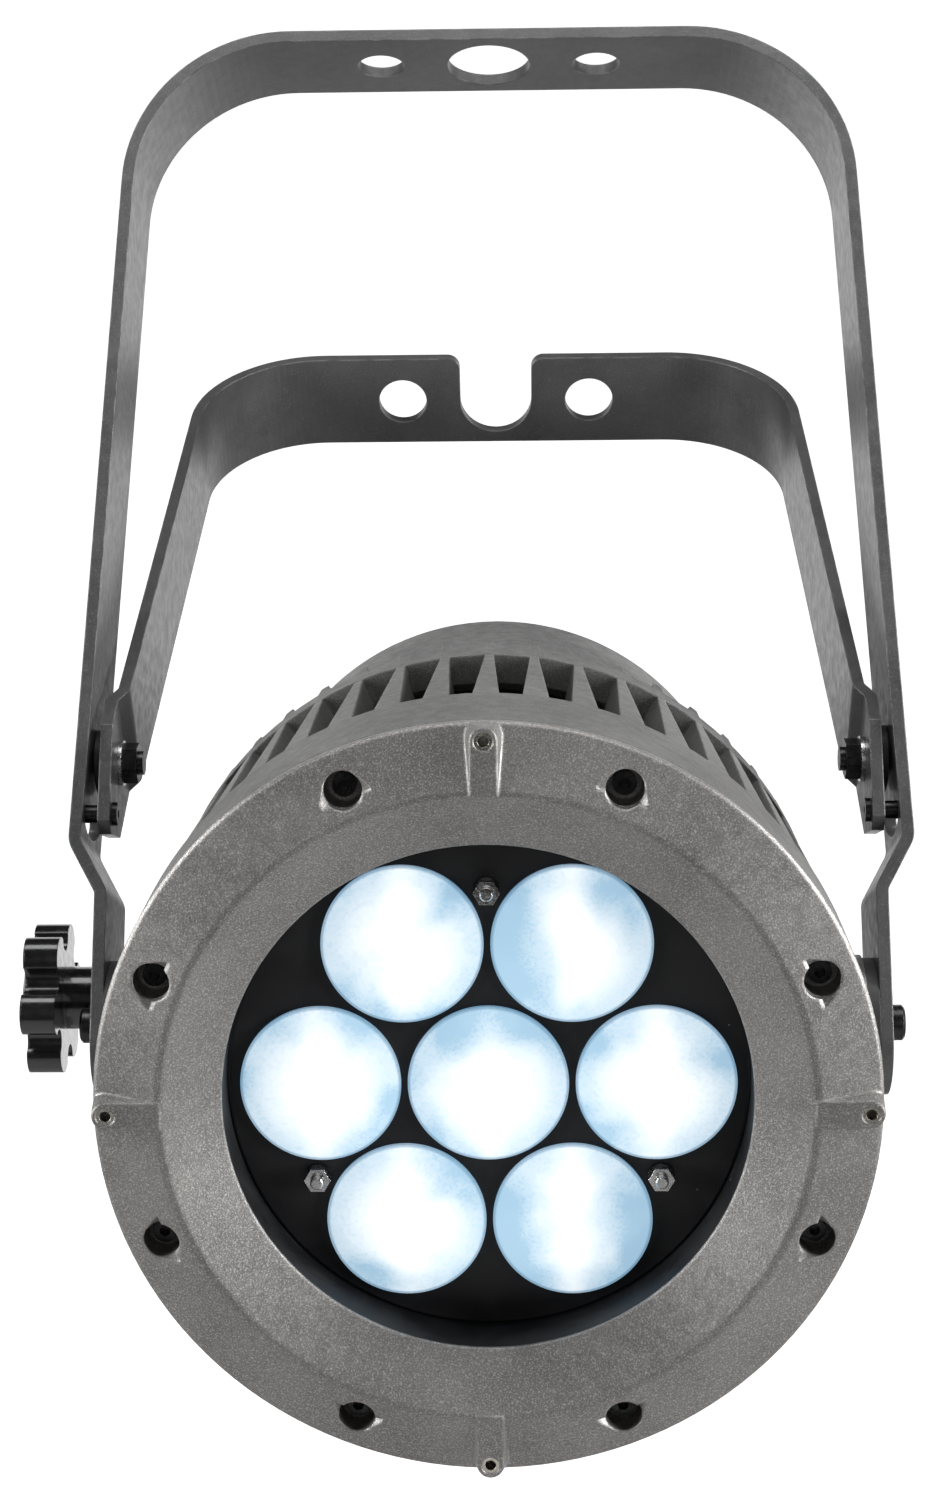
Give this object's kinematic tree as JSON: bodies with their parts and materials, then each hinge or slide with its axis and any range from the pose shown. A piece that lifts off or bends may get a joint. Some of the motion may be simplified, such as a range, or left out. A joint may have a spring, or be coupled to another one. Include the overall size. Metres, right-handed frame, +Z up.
{
  "type": "par can light",
  "caption": "Zoom LED par can with a cluster of round lenses, a finned cast housing, an outer yoke with a brake knob and a folding inner yoke.",
  "frame": {"origin": "centre of the clamp hole, on the top face of the outer yoke crossbar", "axes": "+Z up along the outer yoke, -Y towards the lit front, +X to the right as seen from the front"},
  "size_m": [0.2905, 0.356, 0.4831],
  "materials": {
    "yoke_coat": "textured dark grey powder coat",
    "ring_coat": "textured light warm-grey powder coat on a casting",
    "body_coat": "textured grey powder coat on a casting",
    "black_steel": "blackened fasteners",
    "bright_steel": "zinc-plated",
    "knob_plastic": "moulded black",
    "friction_plastic": "friction washer",
    "gasket": "moulded seal",
    "shield_black": "matt black sheet",
    "plate_black": "satin black sheet",
    "brass": "threaded insert",
    "guide_glass": "polished",
    "led_yellow": "emitter",
    "board_white": "white solder mask",
    "motor_steel": "motor can",
    "sink_alloy": "black anodised",
    "fan_plastic": "moulded",
    "psu_case": "plain",
    "board_green": "circuit board",
    "panel_black": "satin black",
    "screen": "display window",
    "button_plastic": "moulded",
    "socket_blue": "moulded blue",
    "socket_grey": "moulded grey",
    "socket_black": "moulded black",
    "lens_glow": "clear optical plastic, lit cool white"
  },
  "bodies": {
    "outer_yoke": {"outer_yoke": "yoke_coat", "bracket_bolts": "black_steel", "bracket_nuts": "black_steel", "bracket_washers": "bright_steel", "bracket_spacers": "friction_plastic"},
    "inner_yoke": {"inner_yoke": "yoke_coat", "bracket_pins": "black_steel"},
    "brake_stud": {"knob_stud": "bright_steel"},
    "brake_knob": {"knob": "knob_plastic"},
    "carriage": {"lens_plate": "plate_black", "lens_1": "lens_glow", "lens_2": "lens_glow", "lens_3": "lens_glow", "lens_4": "lens_glow", "lens_5": "lens_glow", "lens_6": "lens_glow", "lens_7": "lens_glow", "carriage_washers": "black_steel", "carriage_nuts": "bright_steel", "zoom_rods": "bright_steel"},
    "fan_rotor": {"fan_rotor": "fan_plastic"},
    "button_1": {"menu_button_1": "button_plastic"},
    "button_2": {"menu_button_2": "button_plastic"},
    "button_3": {"menu_button_3": "button_plastic"},
    "button_4": {"menu_button_4": "button_plastic"},
    "head": {"pivot_bolts": "black_steel", "friction_discs": "friction_plastic", "front_ring": "ring_coat", "ring_screws": "black_steel", "boss_inserts": "brass", "front_gasket": "gasket", "front_housing": "body_coat", "light_shield": "shield_black", "guide_plate": "shield_black", "light_guides": "guide_glass", "leds": "led_yellow", "led_board": "board_white", "zoom_motors": "motor_steel", "heat_sink": "sink_alloy", "finned_housing": "body_coat", "fan_frame": "fan_plastic", "fan_screws": "bright_steel", "power_supply": "psu_case", "control_board": "board_green", "rear_cover": "body_coat", "cover_screws": "black_steel", "rear_gasket": "gasket", "rear_panel": "panel_black", "display": "screen", "power_in": "socket_blue", "power_out": "socket_grey", "data_in": "socket_black", "data_out": "socket_black", "safety_eye": "bright_steel"}
  },
  "joints": [
    {"name": "head_tilt", "type": "hinge", "parent": "outer_yoke", "child": "head", "pos_m": [0, 0, -0.343], "axis": [1, 0, 0], "range_deg": [-80, 140]},
    {"name": "bracket_swing", "type": "hinge", "parent": "outer_yoke", "child": "inner_yoke", "pos_m": [0, 0, -0.2555], "axis": [1, 0, 0], "range_deg": [0, 65]},
    {"name": "brake_stud_travel", "type": "slide", "parent": "outer_yoke", "child": "brake_stud", "axis": [-1, 0, 0], "range_m": [0, 0.0025]},
    {"name": "brake_knob_turn", "type": "hinge", "parent": "brake_stud", "child": "brake_knob", "pos_m": [-0.14, 0.0134, -0.3324], "axis": [-1, 0, 0], "range_deg": [0, 720]},
    {"name": "zoom_slide", "type": "slide", "parent": "head", "child": "carriage", "axis": [0, -0.9063, -0.4226], "range_m": [-0.014, 0.007]},
    {"name": "fan_spin", "type": "hinge", "parent": "head", "child": "fan_rotor", "pos_m": [0, 0.05556, -0.31544], "axis": [0, -0.9063, -0.4226], "continuous": true},
    {"name": "button_1_press", "type": "slide", "parent": "head", "child": "button_1", "axis": [0, -0.9063, -0.4226], "range_m": [0, 0.0012], "stiffness_N_per_m": 600},
    {"name": "button_2_press", "type": "slide", "parent": "head", "child": "button_2", "axis": [0, -0.9063, -0.4226], "range_m": [0, 0.0012], "stiffness_N_per_m": 600},
    {"name": "button_3_press", "type": "slide", "parent": "head", "child": "button_3", "axis": [0, -0.9063, -0.4226], "range_m": [0, 0.0012], "stiffness_N_per_m": 600},
    {"name": "button_4_press", "type": "slide", "parent": "head", "child": "button_4", "axis": [0, -0.9063, -0.4226], "range_m": [0, 0.0012], "stiffness_N_per_m": 600}
  ],
  "couplings": [
    {"joint": "brake_knob_turn", "follows": "brake_stud_travel", "rad_per_m": 5026.5}
  ]
}
